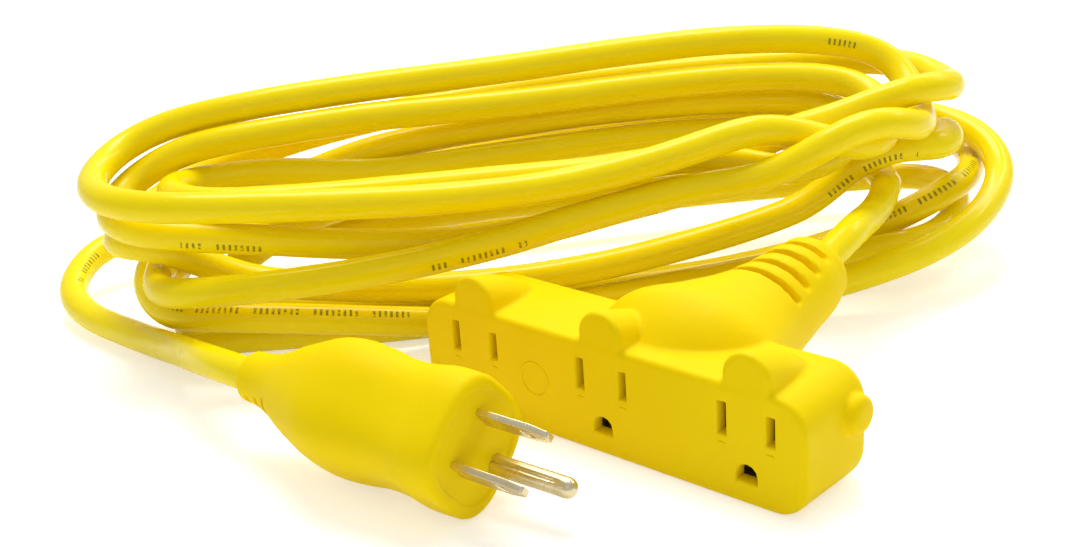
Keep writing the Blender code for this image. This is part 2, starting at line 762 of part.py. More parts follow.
def build_buses(frame, origin):
    """Three brass strips, each joining one contact of every outlet."""
    left, right = -OUTLET_PITCH, OUTLET_PITCH
    half = BLADE_HALF_SPACING
    strips = {
        "bus_hot": ((left + half - 2.0, 1.4), (right + half + 2.0, 3.8)),
        "bus_neutral": ((left - half - 2.0, -4.1), (right - half + 2.0, -1.7)),
        "bus_ground": ((left - 2.5, -13.6), (right + 2.5, -10.2)),
    }
    for name, ((x0, y0), (x1, y1)) in strips.items():
        add_object(name, *box(frame, (x0, y0, 15.6), (x1, y1, 16.2)), "brass", origin)


def clip_outline(gap, reach):
    """A sprung contact seen along its leaves: a U with pinched and flared ends."""
    outer = [(gap + 0.5, 0.0), (gap + 0.5, reach - 4.0), (gap * 0.9 + 0.5, reach - 1.8)]
    outer += [(gap + 1.1, reach), (gap + 0.7, reach + 0.2), (gap * 0.9, reach - 1.8)]
    outer += [(gap, reach - 4.0), (gap, 0.6)]
    return outer + [(-x, y) for x, y in reversed(outer)]


def add_clip(frame, origin, name, middle, gap, low, high):
    outline = clip_outline(gap, 8.8)
    rings = []
    for y in (low, high):
        rings.append(frame.place([(middle + x, y, 15.3 - z) for x, z in outline]))
    add_object(name, *body(rings), "brass", origin)


def build_contacts(frame, origin):
    half = BLADE_HALF_SPACING
    for k in (1, 2, 3):
        middle = (k - 2) * OUTLET_PITCH
        add_clip(frame, origin, f"contact_hot_{k}", middle + half, 0.95, -3.0, 3.6)
        add_clip(frame, origin, f"contact_neutral_{k}", middle - half, 0.95, -3.8, 3.0)
        add_clip(frame, origin, f"contact_ground_{k}", middle, 2.75, -13.8, -9.8)


def build_block_wires(frame, neck, origin):
    """Conductors through the neck, turned to the three terminals on the bus strips."""
    spots = core_spots((0.0, 0.0))
    for colour, (x, y) in spots.items():
        end = TERMINALS[colour]
        path = [neck.place([(x, y, NECK_LENGTH + BLOCK_LIFT - FLEX_GAP / 2)])[0]]
        path.append(neck.place([(x, y, POCKET_END)])[0])
        path.append(frame.place([(*end, 20.0)])[0])
        path.append(frame.place([(*end, 18.0)])[0])
        rings = []
        for k, centre in enumerate(path):
            across = (neck.axes[0], -neck.axes[1]) if k < 2 else frame.axes[:2]
            rings.append(ring_at(centre, across, CORE_R, CORE_SIDES))
        add_object(f"outlet_core_{colour}", *body(rings), f"core_{colour}", origin)
        shape = extrusion(frame, circle(COPPER_R, 8, end), 17.7, 16.5)
        add_object(f"outlet_copper_{colour}", *shape, "copper", origin)


def build_outlet_block():
    frame, neck = block_frame(), neck_frame()
    origin = neck.place([(0, 0, NECK_LENGTH + BLOCK_LIFT)])[0]
    build_housing(frame, origin)
    build_carriers(frame, origin)
    build_buses(frame, origin)
    build_contacts(frame, origin)
    build_block_wires(frame, neck, origin)
    ends = (POCKET_END + 0.5, NECK_LENGTH + BLOCK_LIFT - FLEX_GAP / 2)
    line = neck.place([(0, 0, z) for z in ends])
    axes = [(neck.axes[0], neck.axes[1])] * 2
    add_object("outlet_jacket", *tube(line, axes), "jacket_pvc", origin)


clear_scene()
build_cord()
build_plug()
build_outlet_block()
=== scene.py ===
"""The looks of a coiled three-outlet extension cord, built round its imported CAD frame.

Lengths are millimetres until a mesh is made. The cord, the plug's body, the outlet housing, the
blades and the pin are built here at full detail; the parts inside keep their CAD shape.
"""

import json
import math

import bpy
import numpy as np
from mathutils import Matrix

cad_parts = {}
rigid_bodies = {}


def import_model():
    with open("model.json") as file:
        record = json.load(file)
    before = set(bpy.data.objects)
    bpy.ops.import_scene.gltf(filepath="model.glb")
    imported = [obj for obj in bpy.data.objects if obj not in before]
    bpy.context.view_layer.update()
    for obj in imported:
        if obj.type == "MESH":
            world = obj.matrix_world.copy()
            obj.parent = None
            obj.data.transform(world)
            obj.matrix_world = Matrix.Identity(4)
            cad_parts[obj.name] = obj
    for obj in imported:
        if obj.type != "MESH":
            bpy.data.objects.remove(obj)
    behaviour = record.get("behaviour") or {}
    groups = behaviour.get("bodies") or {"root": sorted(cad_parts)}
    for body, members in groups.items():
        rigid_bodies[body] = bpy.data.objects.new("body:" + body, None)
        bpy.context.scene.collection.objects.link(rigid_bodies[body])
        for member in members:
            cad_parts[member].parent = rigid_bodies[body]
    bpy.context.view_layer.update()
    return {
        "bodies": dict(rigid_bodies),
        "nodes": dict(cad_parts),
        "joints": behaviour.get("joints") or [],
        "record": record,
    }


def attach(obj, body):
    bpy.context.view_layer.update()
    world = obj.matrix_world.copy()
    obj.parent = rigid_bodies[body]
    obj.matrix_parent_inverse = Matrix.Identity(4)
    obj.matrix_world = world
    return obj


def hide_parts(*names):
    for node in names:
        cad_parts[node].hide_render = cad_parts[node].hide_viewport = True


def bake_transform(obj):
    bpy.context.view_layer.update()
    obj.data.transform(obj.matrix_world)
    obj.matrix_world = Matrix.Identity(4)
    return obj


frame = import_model()
MM = 0.001

# ---- Cord -------------------------------------------------------------------------------------
CORD_R = 4.2              # jacket outer radius
STRAND_PITCH = 9.25       # least distance between two strands' centre lines

# ---- Standard grounded plug and outlet, 15 A 125 V ----------------------------------------------
BLADE_HALF_SPACING = 6.35
BLADE_WIDTH = 6.35
BLADE_THICK = 1.5
BLADE_LENGTH = 17.5
BLADE_HOLE_R = 1.6
BLADE_HOLE_AT = 11.9
PIN_R = 2.4
PIN_LENGTH = 21.4
PIN_DROP = 11.9           # ground pin from the line of the two blades
OUTLET_PITCH = 40.4

# ---- Plug -------------------------------------------------------------------------------------
PLUG_FACE = (-14.2, -80.97, 19.1)      # middle of the blade line, in the coil's plan
PLUG_AXIS = (0.79, -0.61, -0.03)      # the way the blades point
PLUG_DOWN = (0.352, 0.564, -0.748)    # from the blade line to the ground pin
BODY_DROP = 2.5                       # body centre below the blade line
BODY = (                              # along the axis, half size, squareness
    (-68.0, 6.2, 2.0),
    (-63.0, 6.7, 2.0),
    (-58.0, 8.2, 2.0),
    (-52.0, 10.8, 2.2),
    (-46.0, 13.0, 2.4),
    (-40.5, 14.7, 2.6),
    (-35.0, 15.4, 2.7),
    (-28.0, 15.0, 2.8),
    (-20.5, 14.0, 3.0),
    (-14.0, 14.2, 3.0),
    (-8.0, 15.1, 3.0),
    (-1.8, 15.1, 3.0),
    (0.0, 13.9, 3.0),
)
RELIEF_SLOTS = (-65.5, -61.5, -57.5)
BLADE_ROOT = -15.0

# ---- Outlet block -----------------------------------------------------------------------------
SLOT_Z = 19.6             # height of the blade slots' centre line
BLOCK_LEFT = -58.0        # from the middle outlet, along the face
BLOCK_RIGHT = 55.5
BLOCK_TOP = 8.5           # above the slot centre line
BLOCK_FLOOR = -19.6
BLOCK_DEPTH = 24.0
BLOCK_CORNER = 8.0
HUMP_TOP = 16.8
HUMP_R = 6.4
NECK_U = 14.0             # where the cord leaves the back of the block
NECK_RISE = 12.5
NECK_LENGTH = 48.0
NECK = (                  # distance behind the block, half width, half height, sideways, lift
    (-15.0, 16.0, 13.8, -5.0, 2.9),
    (-7.0, 22.0, 16.6, -5.0, 4.6),
    (0.0, 24.0, 17.0, -5.0, 5.6),
    (10.0, 19.5, 15.5, -3.0, 3.8),
    (20.0, 14.8, 13.6, -1.5, 2.2),
    (30.0, 12.2, 12.2, -0.5, 1.2),
    (44.0, 10.0, 10.0, 0.0, 0.4),
    (48.0, 8.4, 8.4, 0.0, 0.2),
)
NECK_SLOTS = (24.0, 30.0, 36.0, 42.0)
POCKET_R = 10.0           # hollow behind the terminals, narrowing to the cord's bore
POCKET_END = 15.0         # along the neck, where the jacket is stripped
OUTLET_MIDDLE = (15.0, -55.0)         # middle outlet on the face, in the coil's plan
TURN_BLOCK = 43.5                     # the coil's plan is turned this far about Z
UNDERSIDE = (-1.25, -19.6, 10.0)      # middle of the block's underside: the object's origin

# ---- Coil: each turn's right end, front, left end and back, in the coil's plan ---------------------
# right (x, y, z), front (y, z), left (x, y, z), back (y, z)
TURNS = (
    ((132, 74, 15), (26.7, 4.2), (-101, 44, 6), (70, 30)),
    ((139, 76, 27), (36, 4.6), (-104, 44, 14), (78, 38)),
    ((139, 66, 26), (17.4, 4.2), (-105.5, 40, 18.5), (74, 20)),
    ((125, 56, 38), (29, 12.8), (-114, 36, 31), (72, 56)),
    ((123, 60, 53.5), (17, 31), (-113, 31, 43), (54, 57.5)),
    ((104, 44, 50), (8, 46), (-116, 30, 52), (60, 66.2)),
    ((115, 52, 53), (7, 34), (-102, 28, 25), (61, 49)),
    ((99, 48, 42), (18, 46), (-96, 32, 48), (56, 42)),
)
# Each turn's right end: how far its back and its front run back there, and the share of the
# front's climb that is already lost at the round end and where the straight begins.
RUNS = (
    (0.085, 0.06, 0.15, 0.6),
    (0.17, 0.06, 0.2, 0.72),
    (0.085, -0.02, 0.34, 0.9),
    (0.085, 0.08, 0.08, 0.33),
)
PLAIN_RUN = (0.085, 0.085, 0.05, 0.3)
FIRST_BACK = (89, 11)
PLUG_LEAD = (
    (-92, -3, 12), (-118.5, 32, 5.8), (-137.5, 60, 8), (-131.5, 82, 13), (-100, 90, 13),
    (-50, 86, 9),
)
OUTLET_LEAD = ((76, 66, 40), (98, 60, 36), (104, 44, 31), (95, 19, 28.5))
CORNER_IN = 0.30          # the round end's 45 degree point, as a share of its radius
SKEW = 0.085              # the sides run back this much towards +X

# ---- Flex points along the leads ----------------------------------------------------------------
PLUG_ROLL = -72.5         # along the plug's axis, behind the face
BLOCK_LIFT = 12.0         # beyond the neck's end

# ---- Detail of the looks ------------------------------------------------------------------------
JACKET_SIDES = 28
RING_STEP = 2.4           # between the rings of the jacket
PLUG_INSIDE = 32.5        # the jacket's run inside the plug, from the roll point
NECK_INSIDE = 43.0        # and inside the neck, from the lift point
PLUG_SIDE = 75.0          # the coil's run of jacket starts here
BLOCK_SIDE = 60.0         # and ends this far before the lift point
CORE_LAY = 95.0           # one turn of the twisted conductors, which show faintly
LAY_DEPTH = 0.035
FLEX_RUNS = (             # jacket run and its bend, from the roll point: name, run, bend, bodies, node
    ("cord_plug_swing", (35.0, 75.0), (70.0, 38.0), ("coil", "plug_swing_link"),
     "swing_link_jacket"),
    ("cord_plug_lift", (5.0, 35.0), (31.0, 7.0), ("plug_swing_link", "plug_lift_link"),
     "plug_link_jacket"),
    ("cord_plug_entry", (-31.5, 5.0), (4.0, -4.0), ("plug_lift_link", "plug"), "plug_jacket"),
)
BLOCK_RUNS = (            # the same at the block, measured from the lift point
    ("cord_block_swing", (-60.0, -17.0), (-55.0, -20.0), ("coil", "outlet_swing_link"),
     "outlet_link_jacket"),
    ("cord_block_entry", (-17.0, 42.0), (-14.0, 11.0), ("outlet_swing_link", "outlet_block"),
     "outlet_jacket"),
)
PLUG_SIDES = 96
RELIEF_HALF = 5.6         # half width left between the relief slots' floors
RELIEF_OPEN = 14.0        # out here the body is whole again
RELIEF_EDGE = (0.55, 0.45)             # half width of a slot's floor, width of its shoulder
FACE_EDGE = 1.8           # rounding round the plug's face
FACE_POWER = 3.0
CORD_END = ((0.8, 1.75), (0.35, 1.45), (0.05, 0.8), (-0.25, 0.25))       # outward, inward
FACE_DISH = ((0.0, 2.6), (-0.12, 2.9), (-0.35, 3.1), (-0.5, 3.6), (-0.5, 8.0))
TIP_TAPER = (4.6, 1.5)    # a blade's tip: how long and how deep its taper is
TIP_ROUND = 0.9
HOLE_FLARE = ((-0.9, 0.45), (-0.55, 0.0), (0.55, 0.0), (0.9, 0.45))
BLADE_EDGE = 0.22
SEAM_DEPTH = 0.55
SEAM_SPREAD = 0.16        # half width of the pin's seam, in radians
SEAM_END = 3.2            # from the pin's tip
FRONT_EDGE = 1.4          # rounding round the block's face
BACK_START = 22.0         # the block's sides end here
BACK_EDGE = (4.5, 3.2)    # rounding at the back: deep and inward
HUMP = (                  # depth behind the face, drop below the top, size
    (0.15, 0.8, 0.84), (0.5, 0.3, 0.94), (1.2, 0.0, 1.0), (2.5, 0.3, 1.0), (6.0, 1.4, 1.0),
    (10.0, 2.6, 1.0), (13.0, 3.9, 0.99), (15.5, 5.1, 0.96), (17.5, 6.2, 0.9), (19.0, 7.2, 0.8),
)
NECK_DOME_AT = 44.0       # the neck's end is rounded from here on
NECK_DOME = (6.4, 3.6, 4.6)            # radius at the cord, the rest of it, length
BOSS = ((-2.0, 1.0), (1.2, 1.0), (2.0, 0.93), (2.6, 0.78), (2.9, 0.5))   # outward, size
BOSS_R = 4.6
BOSS_AT = (-1.0, 19.5)    # height and depth
MOUTH = ((-1.0, 0.5), (0.0, 0.42), (0.18, 0.16), (0.45, 0.0), (4.0, 0.0))  # depth, flare
SLOT_CORNER = 0.25
RING_TUBE = (0.42, 0.36)  # the ring's half width and its height from the middle
BAR = (0.9, 0.28)         # half length and half height of the bar below a slot
BAR_LAYERS = ((0.3, 0.0), (-0.14, 0.0), (-0.24, 0.12))
GROOVE = (7.2, 16.0, 1.0)  # the neck's grooves: floor, outside, half width
HOUSING_HOLLOW = ((-53.3, -16.3, 3.2), (51.0, 5.6, 19.7))
BORE_PLAY = 0.12
HOUSING_VOXEL = 0.5
RING_AT = (-20.7, -5.3)   # plain raised ring on the face
RING_R = 4.3
FLASH = ((-14.0, 1.6), (-4.0, 1.2), (5.5, 2.6), (9.0, 1.4), (17.0, 1.5), (29.0, 1.1))
TICK_PITCH = 1.55         # printed ticks along the cord
TICK_TALL = 1.9
GROUP_LENGTH = 15.5
PRINTS = (                # printed stretches along the cord, and the way the print faces
    (118.0, 146.0, (0.90, -0.05, 0.43)),
    (966.0, 1017.0, (0.48, -0.60, 0.64)),
    (1722.0, 1800.0, (0.46, -0.45, 0.77)),
    (2103.0, 2133.0, (0.55, -0.80, -0.25)),
    (2832.0, 2857.0, (0.60, -0.75, -0.28)),
    (3607.0, 3619.0, (0.53, -0.81, 0.23)),
    (3791.0, 3817.0, (0.58, -0.78, -0.25)),
)

JACKET_BRIGHT = (0.94, 0.76, 0.001, 1.0)
JACKET_DEEP = (0.91, 0.68, 0.001, 1.0)
MOULDED_BRIGHT = (0.93, 0.69, 0.001, 1.0)
MOULDED_DEEP = (0.91, 0.65, 0.001, 1.0)
INK = (0.05, 0.045, 0.01, 1.0)
PALE_BRASS = (0.86, 0.76, 0.50, 1.0)
DULL_BRASS = (0.52, 0.42, 0.22, 1.0)
BRASS = (0.78, 0.56, 0.22, 1.0)
COPPER = (0.80, 0.36, 0.20, 1.0)
DULL_COPPER = (0.40, 0.15, 0.08, 1.0)

FLOOR_GAP = 0.05
FLOOR_GLOW = (0.15, 0.45)  # towards the object, towards the camera
WORLD_LIGHT = 0.52
LIGHTS = (                # name, place and aim in metres, size in metres, watts
    ("key", (-0.30, 0.30, 1.10), (-0.06, 0.05, 0.0), (0.70, 0.50), 10.0),
    ("strip", (-0.15, 0.90, 0.75), (-0.06, 0.05, 0.0), (1.60, 0.08), 4.0),
    ("fill", (0.75, -0.85, 0.80), (0.0, 0.0, 0.0), (0.90, 0.60), 0.6),
)
CAMERA_AT = (0.21441, -0.25361, 0.17384)
CAMERA_RIGHT = (0.74196, 0.66690, -0.06885)
CAMERA_UP = (-0.19680, 0.31480, 0.92853)
CAMERA_LENS = 52.15


# ---- Plain shapes -----------------------------------------------------------------------------
def unit(v):
    v = np.asarray(v, float)
    return v / np.linalg.norm(v)


def turned(p):
    """A point or a direction of the coil's plan, turned about Z into the object's axes."""
    p = np.asarray(p, float)
    angle = math.radians(TURN_BLOCK)
    c, s = math.cos(angle), math.sin(angle)
    out = p.copy()
    out[..., 0] = c * p[..., 0] - s * p[..., 1]
    out[..., 1] = s * p[..., 0] + c * p[..., 1]
    return out


def placed(p):
    """A point of the coil's plan in the object's axes, from its origin."""
    middle = turned((*OUTLET_MIDDLE, 0.0))
    return turned(p) - middle - (UNDERSIDE[0], UNDERSIDE[2], 0.0)


class Frame:
    """A local set of axes: place() takes local millimetres to the object's."""

    def __init__(self, origin, x, y, z):
        self.origin = np.asarray(origin, float)
        self.axes = np.array([x, y, z], float)

    def place(self, points):
        return self.origin + np.asarray(points, float) @ self.axes


def loft(rings):
    """A closed body through rings of equal count, capped at both ends."""
    count = len(rings[0])
    points = np.concatenate(rings)
    faces = []
    for k in range(len(rings) - 1):
        for i in range(count):
            j = (i + 1) % count
            a, b = k * count, (k + 1) * count
            faces.append((a + i, a + j, b + j, b + i))
    faces.append(tuple(range(count))[::-1])
    last = (len(rings) - 1) * count
    faces.append(tuple(range(last, last + count)))
    return points, faces


def outward(points, faces):
    """The faces turned round if the closed body they make is inside out."""
    volume = 0.0
    for face in faces:
        for k in range(1, len(face) - 1):
            a, b, c = points[face[0]], points[face[k]], points[face[k + 1]]
            volume += np.dot(a, np.cross(b, c))
    return faces if volume > 0 else [tuple(reversed(face)) for face in faces]


def body(rings):
    points, faces = loft([np.asarray(ring, float) for ring in rings])
    return points, outward(points, faces)


def box(frame, low, high):
    (x0, y0, z0), (x1, y1, z1) = low, high
    ring = [(x0, y0), (x1, y0), (x1, y1), (x0, y1)]
    rings = [frame.place([(x, y, z) for x, y in ring]) for z in (z0, z1)]
    return body(rings)


def extrusion(frame, outline, low, high):
    """An outline in local x and y, carried from z = low to z = high."""
    return body([frame.place([(x, y, z) for x, y in outline]) for z in (low, high)])


def circle(radius, sides, centre=(0.0, 0.0), phase=0.0):
    steps = [phase + 2 * math.pi * i / sides for i in range(sides)]
    return [(centre[0] + radius * math.cos(t), centre[1] + radius * math.sin(t)) for t in steps]


def rounded_box(low, high, radius, steps):
    """The outline of a rectangle with round corners."""
    (x0, y0), (x1, y1) = low, high
    corners = ((x1, y1, 0), (x0, y1, 1), (x0, y0, 2), (x1, y0, 3))
    out = []
    for x, y, quarter in corners:
        cx = x - radius if quarter in (0, 3) else x + radius
        cy = y - radius if quarter in (0, 1) else y + radius
        for i in range(steps + 1):
            t = math.pi / 2 * (quarter + i / steps)
            out.append((cx + radius * math.cos(t), cy + radius * math.sin(t)))
    return out


# ---- Cord centre line -------------------------------------------------------------------------
def corner(side, end, rise, skew=SKEW):
    """Two points from a turn's round end to its straight side."""
    side_y = side[1] + skew * end[0]
    radius = abs(side_y - end[1])
    way = math.copysign(1.0, side[0] - end[0])
    out = []
    for along, across, up in ((CORNER_IN, 0.72, rise[0]), (1.45, 0.965, rise[1])):
        x = end[0] + way * along * radius
        y = end[1] + across * (side_y - end[1])
        out.append(np.array([x, y, end[2] + up * (side[2] - end[2])]))
    return out


def waypoints():
    back = np.array([0.0, *FIRST_BACK])
    points = [np.array(p, float) for p in PLUG_LEAD] + [back]
    runs = RUNS + (PLAIN_RUN,) * (len(TURNS) - len(RUNS))
    for (right, front, left, rear), (back_skew, skew, *rise) in zip(TURNS, runs):
        right = np.array(right, float)
        left = np.array(left, float)
        front = np.array([0.0, *front])
        rear = np.array([0.0, *rear])
        points += corner(back, right, (0.5, 0.95), back_skew)[::-1] + [right]
        points += corner(front, right, rise, skew) + [front]
        points += corner(front, left, (0.1, 0.35))[::-1] + [left]
        points += corner(rear, left, (0.2, 0.62)) + [rear]
        back = rear
    return points + [np.array(p, float) for p in OUTLET_LEAD]


def spline(points, start_way, end_way):
    """A smooth curve through the points, leaving and arriving along the given directions."""
    points = np.array(points)
    chords = np.linalg.norm(np.diff(points, axis=0), axis=1)
    h = chords ** 0.85
    n = len(points)
    matrix = np.zeros((n, n))
    side = np.zeros((n, 3))
    rate_in = unit(start_way) * chords[0] / h[0]
    rate_out = unit(end_way) * chords[-1] / h[-1]
    matrix[0, :2] = 2 * h[0], h[0]
    side[0] = 6 * ((points[1] - points[0]) / h[0] - rate_in)
    matrix[-1, -2:] = h[-1], 2 * h[-1]
    side[-1] = 6 * (rate_out - (points[-1] - points[-2]) / h[-1])
    for i in range(1, n - 1):
        matrix[i, i - 1 : i + 2] = h[i - 1], 2 * (h[i - 1] + h[i]), h[i]
        slope = (points[i + 1] - points[i]) / h[i] - (points[i] - points[i - 1]) / h[i - 1]
        side[i] = 6 * slope
    bend = np.linalg.solve(matrix, side)
    out = []
    for i in range(n - 1):
        s = np.linspace(0, h[i], 25)[:-1, None]
        r = h[i] - s
        first = points[i] / h[i] - bend[i] * h[i] / 6
        second = points[i + 1] / h[i] - bend[i + 1] * h[i] / 6
        cubic = (bend[i] * r**3 + bend[i + 1] * s**3) / (6 * h[i])
        out.append(cubic + first * r + second * s)
    return np.vstack(out + [points[-1:]])


def lengths(line):
    return np.concatenate([[0.0], np.cumsum(np.linalg.norm(np.diff(line, axis=0), axis=1))])


def at_lengths(line, wanted):
    s = lengths(line)
    return np.stack([np.interp(wanted, s, line[:, k]) for k in range(3)], axis=1)


def spaced(line, step):
    total = lengths(line)[-1]
    return at_lengths(line, np.linspace(0, total, int(round(total / step)) + 1))


def blurred(values, width):
    reach = 3 * width
    kernel = np.exp(-0.5 * (np.arange(-reach, reach + 1) / width) ** 2)
    kernel /= kernel.sum()
    padded = np.pad(values, ((reach, reach), (0, 0)), mode="edge")
    return np.stack([np.convolve(padded[:, k], kernel, "valid") for k in range(3)], axis=1)


def near_pairs(line, skip, within):
    distance = np.linalg.norm(line[:, None] - line[None], axis=2)
    first, second = np.nonzero(distance < within)
    keep = second - first > skip
    return first[keep], second[keep]


def eased_apart(line, rounds=240):
    """Strands that would pass through each other, or the floor, moved until they just clear."""
    count = len(line)
    index = np.arange(count)
    hold = np.clip((np.minimum(index, count - 1 - index) - 12) / 8.0, 0, 1)[:, None]
    for turn in range(rounds):
        if turn % 15 == 0:
            first, second = near_pairs(line, 9, 1.7 * STRAND_PITCH)
        apart = line[first] - line[second]
        distance = np.linalg.norm(apart, axis=1)[:, None]
        push = apart / distance * np.clip(STRAND_PITCH - distance, 0, None) * 0.5
        moved = np.zeros_like(line)
        hits = np.zeros((count, 1))
        for where, way in ((first, 1.0), (second, -1.0)):
            np.add.at(moved, where, push * way)
            np.add.at(hits, where, (push != 0).any(axis=1, keepdims=True) * 1.0)
        moved /= np.maximum(hits, 1)
        moved[:, 2] += np.clip(CORD_R - line[:, 2], 0, None)
        line = line + blurred(moved, 3) * 1.6 * hold
        line[:, 2] = np.maximum(line[:, 2], CORD_R)
    return line


def plug_frame():
    axis = unit(turned(PLUG_AXIS))
    down = np.array(turned(PLUG_DOWN))
    down = unit(down - axis * np.dot(down, axis))
    return Frame(placed(PLUG_FACE), np.cross(down, axis), down, axis)


def block_frame():
    """Local x along the face, y up from the slots, z into the block."""
    middle = (-UNDERSIDE[0], -UNDERSIDE[2], SLOT_Z)
    return Frame(middle, (1, 0, 0), (0, 0, 1), (0, 1, 0))


def neck_frame():
    """Local z along the cord, leaving the back of the block."""
    start = block_frame().place([(NECK_U, -4.6, BLOCK_DEPTH)])[0]
    along = unit((0.0, NECK_LENGTH, NECK_RISE))
    return Frame(start, (1, 0, 0), np.cross(along, (1, 0, 0)), along)


def centre_line():
    """The cord from the plug's roll point to the outlet block's lift point."""
    plug, neck = plug_frame(), neck_frame()
    start = plug.place([(0, BODY_DROP, PLUG_ROLL)])[0]
    end = neck.place([(0, 0, NECK_LENGTH + BLOCK_LIFT)])[0]
    middle = [placed(p) for p in waypoints()]
    line = spline([start, *middle, end], -plug.axes[2], -neck.axes[2])
    return eased_apart(spaced(line, 4.0))


def ground_slot(middle):
    """A ground hole: round above, flat below."""
    y = -PIN_DROP
    arch = [(middle - 2.75, y - 2.0), (middle + 2.75, y - 2.0)]
    for i in range(7):
        t = math.pi * i / 6
        arch.append((middle + 2.75 * math.cos(t), y - 0.5 + 2.75 * math.sin(t)))
    return arch


def slot_boxes(middle, grow=0.0):
    """Low and high corners of the neutral (left, taller) and hot (right) slots."""
    out = []
    for x, wide, tall in ((-BLADE_HALF_SPACING, 1.15, 3.9), (BLADE_HALF_SPACING, 1.05, 3.45)):
        low = (middle + x - wide - grow, -tall - grow)
        out.append((low, (middle + x + wide + grow, tall + grow)))
    return out


def pocket_rings(frame, neck):
    """The hollow at the neck's root, where the conductors spread to their terminals."""
    wide = circle(POCKET_R, 16, (NECK_U, -4.7))
    rings = [frame.place([(x, y, depth) for x, y in wide]) for depth in (19.0, 20.2)]
    narrow = circle(3.9, 16)
    rings.append(neck.place([(x, -y, POCKET_END + 1.0) for x, y in narrow]))
    return rings


# ---- Materials --------------------------------------------------------------------------------
class Nodes:
    """A material's node tree, filled in step by step."""

    def __init__(self, name):
        self.material = bpy.data.materials.new(name)
        self.material.use_nodes = True
        self.tree = self.material.node_tree
        self.shader = self.tree.nodes["Principled BSDF"]

    def add(self, kind, inputs=None, **settings):
        node = self.tree.nodes.new("ShaderNode" + kind)
        for key, value in settings.items():
            setattr(node, key, value)
        for key, value in (inputs or {}).items():
            self.set(node.inputs[key], value)
        return node

    def set(self, socket, value):
        if isinstance(value, bpy.types.NodeSocket):
            self.tree.links.new(value, socket)
        else:
            socket.default_value = value

    def give(self, **values):
        for key, value in values.items():
            self.set(self.shader.inputs[key.replace("_", " ")], value)

    def math(self, operation, a, b=0.0, clamp=False):
        node = self.add("Math", {0: a, 1: b}, operation=operation, use_clamp=clamp)
        return node.outputs[0]

    def mix(self, share, a, b):
        node = self.add("Mix", data_type="RGBA")
        self.set(node.inputs[0], share)
        self.set(node.inputs[6], a)
        self.set(node.inputs[7], b)
        return node.outputs[2]

    def place(self, stretch=None):
        """Where a point is at rest, in metres; stretch scales each axis."""
        where = self.add("Attribute", attribute_name="rest").outputs["Vector"]
        if stretch:
            where = self.add("Mapping", {"Vector": where, "Scale": stretch}).outputs[0]
        return where

    def noise(self, scale, detail=3.0, where=None):
        inputs = {"Vector": where or self.place(), "Scale": scale, "Detail": detail}
        return self.add("TexNoise", inputs).outputs["Fac"]

    def ramp(self, value, low, high, out_low=0.0, out_high=1.0):
        inputs = {"Value": value, "From Min": low, "From Max": high}
        inputs.update({"To Min": out_low, "To Max": out_high})
        return self.add("MapRange", inputs).outputs["Result"]

    def bump(self, height, depth, below=None):
        inputs = {"Height": height, "Distance": depth, "Strength": 1.0}
        if below:
            inputs["Normal"] = below
        return self.add("Bump", inputs).outputs["Normal"]


def pvc(name, bright, deep, rough, shine, grain, grain_depth):
    """Coloured PVC: slow changes of tone, an uneven gloss, grain, faint ripples and a few scuffs."""
    n = Nodes(name)
    tone = n.ramp(n.noise(38.0, 4.0), 0.35, 0.7)
    speck = n.ramp(n.noise(900.0, 2.0), 0.70, 0.78)
    colour = n.mix(n.math("MULTIPLY", tone, 0.45), bright, deep)
    n.give(Base_Color=n.mix(n.math("MULTIPLY", speck, 0.35), colour, deep))
    gloss = n.ramp(n.noise(70.0, 5.0), 0.3, 0.75, rough - 0.05, rough + 0.08)
    scuff = n.ramp(n.noise(260.0, 6.0), 0.62, 0.74, 0.0, 0.16)
    n.give(Roughness=n.math("ADD", gloss, scuff), Specular_IOR_Level=shine)
    waves = n.bump(n.noise(160.0, 2.0), 0.00010)
    n.give(Normal=n.bump(n.noise(grain, 3.0), grain_depth, waves))
    return n


def legend(n):
    """Plain ink ticks, all alike, in short rows along the cord, from the mesh's map in metres."""
    split = n.add("SeparateXYZ", {0: n.add("UVMap", uv_map="cord").outputs[0]})
    along = split.outputs[0]
    round_ = 2 * math.pi * CORD_R * MM
    line = n.add("Attribute", attribute_name="print_line").outputs["Fac"]
    away = n.math("DIVIDE", n.math("SUBTRACT", split.outputs[1], line), round_)
    away = n.math("SUBTRACT", away, n.math("ROUND", away))
    across = n.math("MULTIPLY", away, round_)
    part = n.math("FRACT", n.math("DIVIDE", along, TICK_PITCH * MM))
    stroke = n.math("LESS_THAN", part, 0.45)
    group = n.math("FRACT", n.math("DIVIDE", along, GROUP_LENGTH * MM))
    stroke = n.math("MULTIPLY", stroke, n.math("LESS_THAN", group, 0.8))
    level = n.math("LESS_THAN", n.math("ABSOLUTE", across), TICK_TALL / 2 * MM)
    stroke = n.math("MULTIPLY", stroke, level)
    worn = n.ramp(n.noise(1500.0, 3.0), 0.34, 0.46)
    stroke = n.math("MULTIPLY", stroke, worn)
    printed = n.add("Attribute", attribute_name="printed").outputs["Fac"]
    return n.math("MULTIPLY", stroke, n.math("GREATER_THAN", printed, 0.5))


def jacket_material():
    n = pvc("cord_jacket_pvc", JACKET_BRIGHT, JACKET_DEEP, 0.22, 0.18, 1400.0, 0.000012)
    ink = legend(n)
    colour = n.shader.inputs["Base Color"].links[0].from_socket
    gloss = n.shader.inputs["Roughness"].links[0].from_socket
    n.give(Base_Color=n.mix(n.math("MULTIPLY", ink, 0.7), colour, INK))
    n.give(Roughness=n.math("ADD", gloss, n.math("MULTIPLY", ink, 0.15)))
    return n.material


def moulded_material():
    n = pvc("moulded_body_pvc", MOULDED_BRIGHT, MOULDED_DEEP, 0.46, 0.05, 2300.0, 0.000022)
    return n.material


